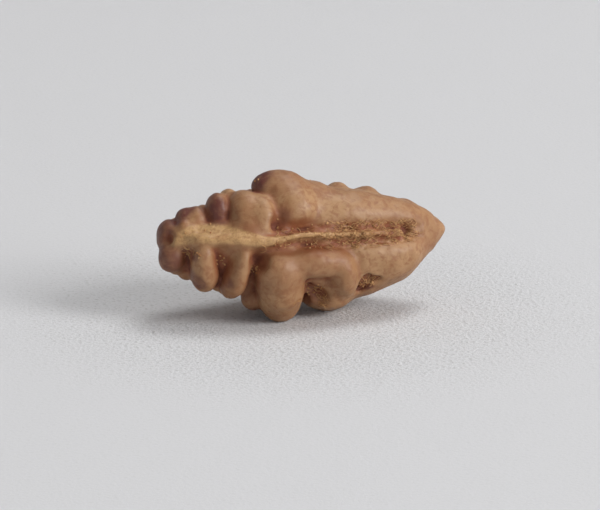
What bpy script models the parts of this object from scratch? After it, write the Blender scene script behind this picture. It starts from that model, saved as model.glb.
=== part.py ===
"""Rudraksha stone: the undrilled stone of an Elaeocarpus fruit, lying on its side.

Blender 4.5, metres, +Z up. The stone is one closed body. Its form is worked out in
millimetres, as a soft union of a core and many lobes, from which seams and hollows are
taken. The long axis runs along X, with the stem scar at -X and the point at +X. A place
on the stone is given along the axis and by its turn round it: 0 degrees faces -Y, which
is the front, 90 is the top and 180 the back. The stone stands on Z = 0.
"""

from typing import NamedTuple

import bmesh
import bpy
import numpy as np
from mathutils import Matrix

COLLECTION = "rudraksha_stone"
NODE = "stone"
MM = 0.001
SEED = 11

# Widths of the soft joins between forms, in mm
CORE_SOFT = 1.2
KEEL_SOFT = 0.45

# How steep a furrow's walls are: the higher, the steeper
FURROW_WALL = 3.5

# Fineness of the mesh: voxel of each remesh, steps that settle it, final triangles
VOXELS = (0.18, 0.14)
SETTLE_STEPS = 5
SETTLE_REACH = 0.2
SMOOTH_ROUNDS = 2
PROBE = 0.02
TRIANGLES = 10600

# Cross-sections of the fin under each keel: pitch along it, and where it starts out from the axis
FIN_PITCH = 0.25
FIN_ROOT = 1.0

# The axis lies level and rises towards both ends, (along, rise)
AXIS_RISE = ((-10, 0.55), (-8, 0.35), (-5, 0.12), (0, 0), (5, 0.05), (7.5, 0.1), (9, 0.28), (10.4, 0.5))

# Height of the axis above the floor at mid length
AXIS_HEIGHT = 4.90

# Outermost reach of the stone from its axis, (along, reach)
OUTLINE = ((-9.9, 1.2), (-9.4, 1.75), (-8.4, 2.45), (-7.4, 2.95), (-6.3, 3.45), (-5.0, 3.95), (-3.5, 4.3),
           (-2.4, 5.0), (-1.0, 5.2), (0.0, 5.0), (1.5, 4.5), (3.0, 4.2), (5.0, 3.6), (6.5, 2.95),
           (7.7, 2.45), (8.4, 1.95), (9.1, 1.3), (9.75, 0.6), (10.35, 0.1))


class Lobe(NamedTuple):
    """One swelling: an ellipsoid whose top stands `reach` from the axis, all in mm."""

    along: float
    turn: float
    reach: float
    size: tuple
    lean: float = 0.0
    pitch: float = 0.0
    soft: float = 0.35


class Seam(NamedTuple):
    """One seam between two segments: its turn, its thin keel and the furrow about it."""

    path: tuple
    crest: tuple
    half: tuple
    furrow: tuple


# The core under the lobes: (along, across, up) middle and half sizes
CORE = (
    ((-1.4, 0.0, 0.0), (7.6, 3.0, 3.0)),
    ((2.6, 0.0, 0.0), (5.4, 3.5, 3.5)),
    ((5.7, 0.0, 0.0), (3.6, 2.3, 2.3)),
    ((8.2, 0.0, 0.2), (1.8, 1.45, 1.6)),
    ((9.75, 0.0, 0.42), (0.72, 0.42, 0.42)),
)

STEM_END = (
    Lobe(-9.0, 90, 1.85, (1.0, 1.4, 1.35), pitch=-8, soft=0.4),
    Lobe(-9.2, -32, 2.08, (0.95, 1.05, 0.95), soft=0.45),
    Lobe(-8.5, 195, 2.2, (0.9, 1.3, 1.2), soft=0.35),
    Lobe(-8.7, 262, 2.0, (0.8, 1.1, 1.0), soft=0.3),
)

# Upper segment, seen from the front, from the stem end to the point
UPPER_FRONT = (
    Lobe(-8.15, 84, 2.74, (0.62, 0.8, 0.8), soft=0.35),
    Lobe(-8.35, 58, 2.35, (0.35, 0.4, 0.5), soft=0.5),
    Lobe(-7.35, 78, 3.0, (0.75, 0.95, 0.95), soft=0.5),
    Lobe(-5.92, 76, 4.08, (0.85, 1.15, 1.25), soft=0.35),
    Lobe(-4.95, 90, 4.10, (0.75, 0.95, 1.0), soft=0.4),
    Lobe(-4.10, 67, 4.50, (1.25, 1.5, 1.4), soft=0.35),
    Lobe(-3.9, 44, 4.12, (1.3, 1.5, 1.2), soft=0.6),
    Lobe(-3.05, 54, 4.55, (1.0, 1.5, 1.3), soft=0.6),
    Lobe(-1.60, 86, 5.40, (1.8, 1.25, 1.1), soft=0.35),
    Lobe(-1.0, 75, 5.10, (1.7, 1.4, 1.4), soft=0.8),
    Lobe(-0.75, 62, 4.85, (1.75, 1.7, 1.6), soft=0.45),
)

UPPER_POINT = (
    Lobe(0.8, 82, 4.55, (1.5, 1.5, 1.3), soft=0.7),
    Lobe(2.6, 64, 4.05, (3.6, 1.9, 1.8), soft=0.8),
    Lobe(5.5, 60, 3.25, (3.1, 1.6, 1.5), soft=0.8),
    Lobe(7.7, 62, 2.22, (1.8, 1.15, 1.2), soft=0.6),
    Lobe(2.90, 98, 4.12, (0.85, 1.0, 0.8), soft=0.4),
    Lobe(4.95, 98, 3.68, (0.9, 1.0, 0.8), soft=0.5),
    Lobe(7.5, 96, 2.52, (0.9, 0.9, 0.8), soft=0.5),
)

# Lower segment, seen from the front
LOWER_FRONT = (
    Lobe(-7.1, -40, 3.45, (0.98, 1.45, 1.15), lean=6, soft=0.2),
    Lobe(-7.35, -8, 3.2, (0.80, 1.35, 0.95), soft=0.45),
    Lobe(-5.15, -38, 4.02, (0.85, 1.65, 1.3), lean=-14, soft=0.2),
    Lobe(-4.75, -4, 3.78, (0.72, 1.35, 1.0), lean=-10, soft=0.45),
    Lobe(-2.15, -20, 4.85, (1.7, 1.75, 1.6), soft=0.3),
    Lobe(-1.95, -46, 5.15, (1.7, 1.7, 1.7), soft=0.6),
    Lobe(-1.75, -65, 5.38, (1.4, 1.3, 1.5), soft=0.7),
    Lobe(0.40, -7, 4.55, (2.4, 1.15, 1.2), soft=0.6),
    Lobe(2.45, -30, 4.55, (1.0, 1.75, 1.1), lean=10, soft=0.5),
    Lobe(1.95, -62, 4.72, (1.35, 0.9, 1.0), soft=0.4),
    Lobe(-3.55, -72, 4.42, (0.8, 0.9, 0.9), soft=0.3),
)

LOWER_POINT = (
    Lobe(4.9, -24, 3.70, (3.3, 2.2, 1.8), soft=0.5),
    Lobe(6.3, -26, 2.85, (2.4, 1.8, 1.6), soft=0.8),
)

# Low lobes that the stone rests on, towards the middle and the back
FEET = (
    Lobe(2.2, -95, 5.02, (2.0, 1.7, 1.5), soft=0.8),
    Lobe(-1.8, -116, 5.73, (1.5, 1.4, 1.5), soft=0.6),
)

# Swellings under each seam that carry its keel: (along, reach)
SEAM_BED = ((-4.2, 3.35), (-1.6, 3.95), (1.2, 4.0), (4.0, 3.5))
KEEL_HALF = ((-9, 0.3), (-7, 0.38), (-4, 0.36), (-2, 0.20), (8, 0.16))
FURROW_HALF = ((-3.5, 0.5), (-1, 0.8), (2.5, 0.95), (7, 0.72), (8.6, 0.35))
SEAMS = (
    Seam(path=((-9, 24.5), (-6, 22.3), (-3.3, 18.5), (-0.8, 22.5), (2.3, 21.5), (8, 19.5)),
         crest=((-8.8, 1.7), (-8, 2.75), (-6.5, 3.35), (-4.7, 3.9), (-3, 4.15), (-1, 4.35), (0.5, 4.3),
                (2.5, 4.0), (5, 3.4), (7, 2.55), (8.2, 1.9)),
         half=KEEL_HALF,
         furrow=((-4.4, 0), (-3.2, 0.1), (-1.8, 0.38), (1, 0.48), (4, 0.45), (7.6, 0.3), (8.6, 0))),
    Seam(path=((-9, 128), (-4, 134), (0, 128), (4, 132), (8, 127)),
         crest=((-8.8, 1.5), (-8, 2.3), (-6, 3.1), (-4, 3.7), (-1, 4.3), (2, 4.0), (5, 3.3), (7.5, 2.2)),
         half=KEEL_HALF,
         furrow=((-4, 0), (-2, 0.35), (1, 0.5), (4, 0.48), (7, 0.35), (8, 0))),
    Seam(path=((-9, 252), (-4, 246), (0, 252), (4, 249), (8, 253)),
         crest=((-8.8, 1.5), (-8, 2.3), (-6, 3.1), (-4, 3.7), (-1, 4.3), (2, 4.0), (5, 3.3), (7.5, 2.2)),
         half=KEEL_HALF,
         furrow=((-3, 0), (-1.5, 0.35), (1, 0.48), (4, 0.5), (7, 0.35), (8, 0))),
)

# Broad slope that the front keel has on its upper side, near the stem end
KEEL_SLOPE = (
    Lobe(-7.5, 36, 2.50, (1.6, 1.0, 0.8), soft=0.7),
    Lobe(-5.4, 36, 3.15, (1.7, 1.2, 0.9), soft=0.7),
    Lobe(-3.7, 29, 3.55, (1.9, 0.9, 0.8), soft=0.8),
)

# Hollows between the lobes, as lobes that are taken away
HOLLOWS = (
    Lobe(-9.6, 34, 2.12, (0.42, 0.50, 0.52), pitch=-35, soft=0.3),
    Lobe(-2.40, 36, 4.25, (0.34, 0.36, 0.55), soft=0.4),
    Lobe(-3.75, -3, 4.75, (0.55, 0.6, 1.0)),
    Lobe(-4.00, -50, 4.7, (0.5, 0.6, 0.8)),
    Lobe(0.62, -48, 5.35, (0.85, 0.80, 0.95)),
    Lobe(0.1, -42, 4.9, (0.36, 0.40, 0.85), soft=0.25),
    Lobe(0.0, -64, 5.6, (0.36, 0.95, 1.1), soft=0.25),
    Lobe(3.95, -42, 4.75, (0.40, 0.95, 1.15), lean=-14, soft=0.3),
    Lobe(4.55, -36, 4.55, (0.55, 0.30, 0.85), soft=0.3),
    Lobe(7.1, 25, 3.05, (0.42, 0.50, 0.5), soft=0.3),
)

# Rows of lobes on the sides that face away: turn, start, stop and share of the outline
BACK_ROWS = ((120, -7.8, -1.0, 0.86), (152, -8.3, 0.4, 0.97), (178, -7.6, 0.2, 0.98), (204, -8.2, 0.6, 0.98),
             (230, -7.6, -0.2, 0.97), (268, -7.9, -3.0, 0.90), (290, -7.2, -3.2, 0.84))


def smooth_through(stations, along):
    """Read a smooth curve through (along, value) stations at the given places."""
    at, value = np.array(stations, dtype=float).T
    slope = np.gradient(value, at)
    place = np.clip(along, at[0], at[-1])
    left = np.clip(np.searchsorted(at, place, side="right") - 1, 0, len(at) - 2)
    span = at[left + 1] - at[left]
    t = (place - at[left]) / span
    rise = value[left + 1] - value[left]
    bend_in = slope[left] * span - rise
    bend_out = rise - slope[left + 1] * span
    return value[left] + t * rise + t * (1 - t) * ((1 - t) * bend_in + t * bend_out)


def axis_rise(along):
    """Height of the axis over its middle."""
    return smooth_through(AXIS_RISE, along)


def lobe_frame(lobe):
    """Middle of a lobe and its own along, round and outward directions."""
    turn = np.radians(lobe.turn)
    outward = np.array((0.0, -np.cos(turn), np.sin(turn)))
    round_way = np.array((0.0, np.sin(turn), np.cos(turn)))
    along_way = np.array((1.0, 0.0, 0.0))
    pitch = np.radians(lobe.pitch)
    out = outward * np.cos(pitch) + along_way * np.sin(pitch)
    ahead = along_way * np.cos(pitch) - outward * np.sin(pitch)
    lean = np.radians(lobe.lean)
    first = ahead * np.cos(lean) + round_way * np.sin(lean)
    second = round_way * np.cos(lean) - ahead * np.sin(lean)
    middle = np.array((lobe.along, 0.0, float(axis_rise(lobe.along))))
    middle = middle + outward * (lobe.reach - lobe.size[2])
    return middle, np.stack((first, second, out), axis=1)


def ellipsoid_distance(points, middle, ways, size):
    """Distance from points to an ellipsoid, near enough, below zero inside."""
    local = (points - middle) @ ways
    size = np.array(size)
    near = np.linalg.norm(local / size, axis=1)
    steep = np.maximum(np.linalg.norm(local / size ** 2, axis=1), 1e-6)
    return near * (near - 1.0) / steep


def soft_union(first, second, soft):
    """Smaller of two distances, with a fillet `soft` wide."""
    overlap = np.maximum(soft - np.abs(first - second), 0.0) / soft
    return np.minimum(first, second) - overlap ** 2 * soft / 4.0


def soft_cut(body, cutter, soft):
    """Take a cutter out of a body, with a rounded edge `soft` wide."""
    return -soft_union(-body, cutter, soft)


def around_axis(points):
    """Distance from the bowed axis, and turn round it in degrees."""
    up = points[:, 2] - axis_rise(points[:, 0])
    return np.hypot(points[:, 1], up), np.degrees(np.arctan2(up, -points[:, 1]))


def seam_offset(points, seam):
    """Arc length from points to a seam, and their distance from the axis."""
    reach, turn = around_axis(points)
    away = turn - smooth_through(seam.path, points[:, 0])
    away = (away + 180.0) % 360.0 - 180.0
    return reach * np.radians(away), reach


def keel_distance(points, seam):
    """Distance to the thin ridge that follows a seam."""
    side, reach = seam_offset(points, seam)
    crest = smooth_through(seam.crest, points[:, 0])
    half = smooth_through(seam.half, points[:, 0])
    start, end = seam.crest[0][0], seam.crest[-1][0]
    past_end = np.maximum(start - points[:, 0], points[:, 0] - end)
    past_top = np.maximum(reach - (crest - half), past_end)
    return np.hypot(np.maximum(past_top, 0.0), side) - half


def furrow_depth(points, seam):
    """Depth by which the furrow along a seam lowers the surface."""
    side = seam_offset(points, seam)[0]
    half = smooth_through(FURROW_HALF, points[:, 0])
    deep = np.maximum(smooth_through(seam.furrow, points[:, 0]), 0.0)
    return deep / (1.0 + np.abs(side / half) ** FURROW_WALL)


def back_lobes():
    """Lobes of the sides that face away: rows between the seams, small at the stem end."""
    draw = np.random.default_rng(SEED)
    lobes = []
    for turn, start, stop, share in BACK_ROWS:
        along = start
        while along < stop:
            reach = float(smooth_through(OUTLINE, along))
            half = 0.36 + 0.155 * reach + draw.uniform(-0.08, 0.08)
            sway = draw.uniform(-4.0, 4.0)
            size = (half, half * draw.uniform(1.0, 1.3), half * 1.1)
            lobes.append(Lobe(along, turn + sway, reach * share * draw.uniform(0.95, 1.02), size,
                              lean=draw.uniform(-25, 25), soft=0.25))
            along += half * 1.85
    return tuple(lobes)


def back_point():
    """Smooth swellings of the point half on the sides that face away."""
    lobes = []
    for turn in (163, 190, 217, 268, 292):
        for along, share, half in ((1.6, 0.98, 2.1), (4.0, 0.98, 2.3), (6.0, 0.97, 1.9)):
            reach = float(smooth_through(OUTLINE, along)) * share
            lobes.append(Lobe(along, turn, reach, (half, 0.45 * reach, 0.4 * reach), soft=0.8))
    return tuple(lobes)


def seam_beds():
    """Low swellings along every seam, which its keel and furrow are set in."""
    lobes = []
    for seam in SEAMS:
        for along, reach in SEAM_BED:
            turn = float(smooth_through(seam.path, along))
            lobes.append(Lobe(along, turn, reach, (2.0, 1.2, 1.1), soft=0.6))
    return tuple(lobes)


ALL_LOBES = (seam_beds() + STEM_END + KEEL_SLOPE + UPPER_FRONT + UPPER_POINT + LOWER_FRONT
             + LOWER_POINT + FEET + back_lobes() + back_point())


def add_near(body, points, lobe):
    """Join one lobe to the body, where it comes near the points."""
    middle, ways = lobe_frame(lobe)
    reach = max(lobe.size) + 2.0
    close = np.linalg.norm(points - middle, axis=1) < reach
    distance = ellipsoid_distance(points[close], middle, ways, lobe.size)
    body[close] = soft_union(body[close], distance, lobe.soft)


def form_distance(points):
    """Distance from points to the surface of the stone, below zero inside."""
    body = np.full(len(points), 50.0)
    for middle, size in CORE:
        distance = ellipsoid_distance(points, np.array(middle), np.eye(3), size)
        body = soft_union(body, distance, CORE_SOFT)
    for lobe in ALL_LOBES:
        add_near(body, points, lobe)
    for seam in SEAMS:
        body = body + furrow_depth(points, seam)
        body = soft_union(body, keel_distance(points, seam), KEEL_SOFT)
    for hollow in HOLLOWS:
        middle, ways = lobe_frame(hollow)
        body = soft_cut(body, ellipsoid_distance(points, middle, ways, hollow.size), hollow.soft)
    return body


def form_slope(points):
    """Direction in which the distance grows, from four probes about each point."""
    slope = np.zeros_like(points)
    for corner in ((1, 1, 1), (1, -1, -1), (-1, 1, -1), (-1, -1, 1)):
        way = np.array(corner, dtype=float)
        slope += way * form_distance(points + way * PROBE)[:, None]
    return slope / (4.0 * PROBE)


def settle(points):
    """Move points onto the surface of the form, by a few careful steps."""
    for _ in range(SETTLE_STEPS):
        slope = form_slope(points)
        steep = np.maximum(np.sum(slope ** 2, axis=1), 0.25)
        move = form_distance(points) / steep
        points = points - slope * np.clip(move, -SETTLE_REACH, SETTLE_REACH)[:, None]
    return points


def clear_scene():
    """Remove every object that the file opened with."""
    for item in list(bpy.data.objects):
        bpy.data.objects.remove(item, do_unlink=True)


def add_ball(mesh, middle, ways, size):
    """Add one stretched UV sphere to a mesh under construction."""
    place = Matrix.Translation(middle) @ Matrix(ways.tolist()).to_4x4() @ Matrix.Diagonal((*size, 1.0))
    bmesh.ops.create_uvsphere(mesh, u_segments=24, v_segments=14, radius=1.0, matrix=place)


def fin_ring(mesh, seam, along):
    """Four corners of a keel's cross-section at one place along it."""
    turn = np.radians(float(smooth_through(seam.path, along)))
    crest = float(smooth_through(seam.crest, along))
    half = float(smooth_through(seam.half, along))
    middle = np.array((along, 0.0, float(axis_rise(along))))
    outward = np.array((0.0, -np.cos(turn), np.sin(turn)))
    round_way = np.array((0.0, np.sin(turn), np.cos(turn)))
    corners = ((FIN_ROOT, -half), (FIN_ROOT, half), (crest, half), (crest, -half))
    return [mesh.verts.new(middle + outward * out + round_way * side) for out, side in corners]


def add_fin(mesh, seam):
    """Add a thin closed fin up to a keel's crest, so that the first skin already reaches it."""
    places = np.arange(seam.crest[0][0], seam.crest[-1][0], FIN_PITCH)
    rings = [fin_ring(mesh, seam, along) for along in places]
    for near, far in zip(rings, rings[1:]):
        for corner in range(4):
            beside = (corner + 1) % 4
            mesh.faces.new((near[corner], near[beside], far[beside], far[corner]))
    mesh.faces.new(rings[0][::-1])
    mesh.faces.new(rings[-1])


def rough_body():
    """All the balls and fins of the stone in one object, before they are joined."""
    mesh = bmesh.new()
    for middle, size in CORE:
        add_ball(mesh, middle, np.eye(3), size)
    for lobe in ALL_LOBES:
        middle, ways = lobe_frame(lobe)
        add_ball(mesh, middle, ways, lobe.size)
    for seam in SEAMS:
        add_fin(mesh, seam)
    data = bpy.data.meshes.new(NODE)
    mesh.to_mesh(data)
    mesh.free()
    body = bpy.data.objects.new(NODE, data)
    bpy.context.scene.collection.objects.link(body)
    return body


def remesh_evenly(body, voxel):
    """Wrap the object in one closed skin of even quads."""
    remesh = body.modifiers.new("join", "REMESH")
    remesh.mode = "VOXEL"
    remesh.voxel_size = voxel
    ease = body.modifiers.new("ease", "SMOOTH")
    ease.factor = 0.5
    ease.iterations = SMOOTH_ROUNDS
    apply_modifiers(body)


def apply_modifiers(body):
    """Turn an object's evaluated shape into its own mesh."""
    shape = body.evaluated_get(bpy.context.evaluated_depsgraph_get())
    data = bpy.data.meshes.new_from_object(shape)
    body.modifiers.clear()
    body.data = data


def settle_mesh(body):
    """Move a mesh's vertices onto the form."""
    points = np.empty(len(body.data.vertices) * 3)
    body.data.vertices.foreach_get("co", points)
    body.data.vertices.foreach_set("co", settle(points.reshape(-1, 3)).ravel())
    body.data.update()


def thin(body):
    """Bring the mesh down to its number of triangles."""
    count = sum(len(face.vertices) - 2 for face in body.data.polygons)
    decimate = body.modifiers.new("thin", "DECIMATE")
    decimate.ratio = min(1.0, TRIANGLES / count)
    apply_modifiers(body)


def stand_on_floor(body):
    """Cut flat spots where the stone touches the floor, and centre it over the origin."""
    mesh = bmesh.new()
    mesh.from_mesh(body.data)
    whole = mesh.verts[:] + mesh.edges[:] + mesh.faces[:]
    cut = bmesh.ops.bisect_plane(mesh, geom=whole, plane_co=(0, 0, -AXIS_HEIGHT),
                                 plane_no=(0, 0, 1), clear_inner=True)
    rim = [item for item in cut["geom_cut"] if isinstance(item, bmesh.types.BMEdge)]
    bmesh.ops.holes_fill(mesh, edges=rim)
    bmesh.ops.triangulate(mesh, faces=mesh.faces[:])
    places = np.array([vertex.co for vertex in mesh.verts])
    middle = (places.min(axis=0) + places.max(axis=0)) / 2.0
    bmesh.ops.translate(mesh, verts=mesh.verts[:], vec=(-middle[0], -middle[1], AXIS_HEIGHT))
    bmesh.ops.scale(mesh, verts=mesh.verts[:], vec=(MM, MM, MM))
    bmesh.ops.recalc_face_normals(mesh, faces=mesh.faces[:])
    mesh.to_mesh(body.data)
    mesh.free()
    body.data.shade_smooth()


def stone_material():
    """Dry, close-grained stone of the fruit: light brown, with a satin surface."""
    material = bpy.data.materials.new("dry_stone")
    material.use_nodes = True
    shader = material.node_tree.nodes["Principled BSDF"]
    shader.inputs["Base Color"].default_value = (0.40, 0.235, 0.135, 1.0)
    shader.inputs["Roughness"].default_value = 0.55
    shader.inputs["Metallic"].default_value = 0.0
    return material


def main():
    """Build the stone in a collection of its own."""
    clear_scene()
    body = rough_body()
    for voxel in VOXELS:
        remesh_evenly(body, voxel)
        settle_mesh(body)
    thin(body)
    stand_on_floor(body)
    body.data.materials.clear()
    body.data.materials.append(stone_material())
    group = bpy.data.collections.new(COLLECTION)
    bpy.context.scene.collection.children.link(group)
    bpy.context.scene.collection.objects.unlink(body)
    group.objects.link(body)


if __name__ == "__main__":
    main()
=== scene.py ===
"""The looks of an undrilled rudraksha stone that lies on pale paper.

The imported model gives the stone's place and size. Here its form is worked out again at a finer
step, in millimetres round the stone's own axis, and it gets its worn skin, ragged seams,
fibres and crumbs. A place on the stone is given along its axis and by its turn round it:
0 degrees faces the front, 90 is the top and 180 the back.
"""

import logging
import math
from dataclasses import dataclass
from enum import Enum

import bmesh
import bpy
import numpy as np
from mathutils import Matrix, Vector

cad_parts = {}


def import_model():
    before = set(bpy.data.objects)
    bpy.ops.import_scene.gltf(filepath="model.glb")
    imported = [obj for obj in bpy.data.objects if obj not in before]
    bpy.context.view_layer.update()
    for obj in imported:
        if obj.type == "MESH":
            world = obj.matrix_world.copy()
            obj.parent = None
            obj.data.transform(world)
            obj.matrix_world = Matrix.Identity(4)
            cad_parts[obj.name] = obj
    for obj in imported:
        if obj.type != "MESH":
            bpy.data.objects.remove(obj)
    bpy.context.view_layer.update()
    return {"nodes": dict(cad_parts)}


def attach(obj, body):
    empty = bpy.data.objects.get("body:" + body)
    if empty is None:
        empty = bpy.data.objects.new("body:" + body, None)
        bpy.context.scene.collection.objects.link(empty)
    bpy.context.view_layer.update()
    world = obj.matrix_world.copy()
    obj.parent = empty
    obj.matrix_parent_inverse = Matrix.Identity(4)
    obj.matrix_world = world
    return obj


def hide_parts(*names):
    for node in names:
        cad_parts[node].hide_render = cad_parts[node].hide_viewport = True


MM = 0.001
BODY = "root"
STONE_NODE = "stone"

log = logging.getLogger("rudraksha_stone")

Array = np.ndarray
Piece = bpy.types.Object
Socket = bpy.types.NodeSocket
Pair = tuple[float, float]
Triple = tuple[float, float, float]
Stations = tuple[Pair, ...]


@dataclass(frozen=True)
class Lobe:
    """One swelling: an ellipsoid whose top stands `reach` from the axis, all in mm."""

    along: float
    turn: float
    reach: float
    size: Triple
    lean: float = 0.0
    pitch: float = 0.0
    soft: float = 0.35


@dataclass(frozen=True)
class Seam:
    """One seam between two segments: its turn, its thin keel and the furrow about it."""

    path: Stations
    crest: Stations
    furrow: Stations


@dataclass(frozen=True)
class Spot:
    """A round place on the stone where matter of one kind gathers, in mm."""

    along: float
    turn: float
    radius: float
    amount: float = 1.0


# The form of the stone, as in the part's own source, but for a slightly shallower second hollow
BOX_MIDDLE = (0.2229, 0.2045)
AXIS_HEIGHT = 4.90
AXIS_RISE: Stations = ((-10, 0.55), (-8, 0.35), (-5, 0.12), (0, 0), (5, 0.05), (7.5, 0.1), (9, 0.28),
                       (10.4, 0.5))
OUTLINE: Stations = ((-9.9, 1.2), (-9.4, 1.75), (-8.4, 2.45), (-7.4, 2.95), (-6.3, 3.45), (-5.0, 3.95),
                     (-3.5, 4.3), (-2.4, 5.0), (-1.0, 5.2), (0.0, 5.0), (1.5, 4.5), (3.0, 4.2), (5.0, 3.6),
                     (6.5, 2.95), (7.7, 2.45), (8.4, 1.95), (9.1, 1.3), (9.75, 0.6), (10.35, 0.1))

CORE = (
    ((-1.4, 0.0, 0.0), (7.6, 3.0, 3.0)),
    ((2.6, 0.0, 0.0), (5.4, 3.5, 3.5)),
    ((5.7, 0.0, 0.0), (3.6, 2.3, 2.3)),
    ((8.2, 0.0, 0.2), (1.8, 1.45, 1.6)),
    ((9.75, 0.0, 0.42), (0.72, 0.42, 0.42)),
)

STEM_END = (
    Lobe(-9.0, 90, 1.85, (1.0, 1.4, 1.35), pitch=-8, soft=0.4),
    Lobe(-9.2, -32, 2.08, (0.95, 1.05, 0.95), soft=0.45),
    Lobe(-8.5, 195, 2.2, (0.9, 1.3, 1.2)),
    Lobe(-8.7, 262, 2.0, (0.8, 1.1, 1.0), soft=0.3),
)

# Upper segment, seen from the front, from the stem end to the point
UPPER_FRONT = (
    Lobe(-8.15, 84, 2.74, (0.62, 0.8, 0.8)),
    Lobe(-8.35, 58, 2.35, (0.35, 0.4, 0.5), soft=0.5),
    Lobe(-7.35, 78, 3.0, (0.75, 0.95, 0.95), soft=0.5),
    Lobe(-5.92, 76, 4.08, (0.85, 1.15, 1.25)),
    Lobe(-4.95, 90, 4.10, (0.75, 0.95, 1.0), soft=0.4),
    Lobe(-4.10, 67, 4.50, (1.25, 1.5, 1.4)),
    Lobe(-3.9, 44, 4.12, (1.3, 1.5, 1.2), soft=0.6),
    Lobe(-3.05, 54, 4.55, (1.0, 1.5, 1.3), soft=0.6),
    Lobe(-1.60, 86, 5.40, (1.8, 1.25, 1.1)),
    Lobe(-1.0, 75, 5.10, (1.7, 1.4, 1.4), soft=0.8),
    Lobe(-0.75, 62, 4.85, (1.75, 1.7, 1.6), soft=0.45),
)

UPPER_POINT = (
    Lobe(0.8, 82, 4.55, (1.5, 1.5, 1.3), soft=0.7),
    Lobe(2.6, 64, 4.05, (3.6, 1.9, 1.8), soft=0.8),
    Lobe(5.5, 60, 3.25, (3.1, 1.6, 1.5), soft=0.8),
    Lobe(7.7, 62, 2.22, (1.8, 1.15, 1.2), soft=0.6),
    Lobe(2.90, 98, 4.12, (0.85, 1.0, 0.8), soft=0.4),
    Lobe(4.95, 98, 3.68, (0.9, 1.0, 0.8), soft=0.5),
    Lobe(7.5, 96, 2.52, (0.9, 0.9, 0.8), soft=0.5),
)

# Lower segment, seen from the front
LOWER_FRONT = (
    Lobe(-7.1, -40, 3.45, (0.98, 1.45, 1.15), lean=6, soft=0.2),
    Lobe(-7.35, -8, 3.2, (0.80, 1.35, 0.95), soft=0.45),
    Lobe(-5.15, -38, 4.02, (0.85, 1.65, 1.3), lean=-14, soft=0.2),
    Lobe(-4.75, -4, 3.78, (0.72, 1.35, 1.0), lean=-10, soft=0.45),
    Lobe(-2.15, -20, 4.85, (1.7, 1.75, 1.6), soft=0.3),
    Lobe(-1.95, -46, 5.15, (1.7, 1.7, 1.7), soft=0.6),
    Lobe(-1.75, -65, 5.38, (1.4, 1.3, 1.5), soft=0.7),
    Lobe(0.40, -7, 4.55, (2.4, 1.15, 1.2), soft=0.6),
    Lobe(2.45, -30, 4.55, (1.0, 1.75, 1.1), lean=10, soft=0.5),
    Lobe(1.95, -62, 4.72, (1.35, 0.9, 1.0), soft=0.4),
    Lobe(-3.55, -72, 4.42, (0.8, 0.9, 0.9), soft=0.3),
)

LOWER_POINT = (
    Lobe(4.9, -24, 3.70, (3.3, 2.2, 1.8), soft=0.5),
    Lobe(6.3, -26, 2.85, (2.4, 1.8, 1.6), soft=0.8),
)

FEET = (
    Lobe(2.2, -95, 5.02, (2.0, 1.7, 1.5), soft=0.8),
    Lobe(-1.8, -116, 5.73, (1.5, 1.4, 1.5), soft=0.6),
)

# Broad slope that the front keel has on its upper side, near the stem end
KEEL_SLOPE = (
    Lobe(-7.5, 36, 2.50, (1.6, 1.0, 0.8), soft=0.7),
    Lobe(-5.4, 36, 3.15, (1.7, 1.2, 0.9), soft=0.7),
    Lobe(-3.7, 29, 3.55, (1.9, 0.9, 0.8), soft=0.8),
)

# Swellings under each seam that carry its keel: (along, reach)
SEAM_BED: Stations = ((-4.2, 3.35), (-1.6, 3.95), (1.2, 4.0), (4.0, 3.5))
KEEL_HALF: Stations = ((-9, 0.3), (-7, 0.38), (-4, 0.36), (-2, 0.20), (8, 0.16))
FURROW_HALF: Stations = ((-3.5, 0.5), (-1, 0.8), (2.5, 0.95), (7, 0.72), (8.6, 0.35))
FRONT_SEAM = Seam(
    path=((-9, 24.5), (-6, 22.3), (-3.3, 18.5), (-0.8, 22.5), (2.3, 21.5), (8, 19.5)),
    crest=((-8.8, 1.7), (-8, 2.75), (-6.5, 3.35), (-4.7, 3.9), (-3, 4.15), (-1, 4.35), (0.5, 4.3),
           (2.5, 4.0), (5, 3.4), (7, 2.55), (8.2, 1.9)),
    furrow=((-4.4, 0), (-3.2, 0.1), (-1.8, 0.38), (1, 0.48), (4, 0.45), (7.6, 0.3), (8.6, 0)))
FAR_CREST: Stations = ((-8.8, 1.5), (-8, 2.3), (-6, 3.1), (-4, 3.7), (-1, 4.3), (2, 4.0), (5, 3.3),
                       (7.5, 2.2))
BACK_SEAM = Seam(
    path=((-9, 128), (-4, 134), (0, 128), (4, 132), (8, 127)),
    crest=FAR_CREST,
    furrow=((-4, 0), (-2, 0.35), (1, 0.5), (4, 0.48), (7, 0.35), (8, 0)))
UNDER_SEAM = Seam(
    path=((-9, 252), (-4, 246), (0, 252), (4, 249), (8, 253)),
    crest=FAR_CREST,
    furrow=((-3, 0), (-1.5, 0.35), (1, 0.48), (4, 0.5), (7, 0.35), (8, 0)))
SEAMS = (FRONT_SEAM, BACK_SEAM, UNDER_SEAM)

# Width of the pale shelf over the front keel, (along, width)
SHELF_WIDTH: Stations = ((-8.8, 0.7), (-7.8, 1.25), (-6.2, 1.3), (-4.8, 0.85), (-3.4, 0.45), (-1, 0.25),
                         (2, 0.2), (6, 0.15))

# Turn of the front seam, in degrees, and how far round from it the point half's fibres lie
FRONT_TURN = 21.0
FRONT_SPREAD = 40.0

# Size of the patches in which loose matter gathers, and its clear height over the paper, in mm
PATCH_SIZE = 0.7
CLEAR_HEIGHT = (0.4, 0.8)

# Least and most thickness of loose matter, as a share of its length
SLIMNESS = (0.55, 1.0)

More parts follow.
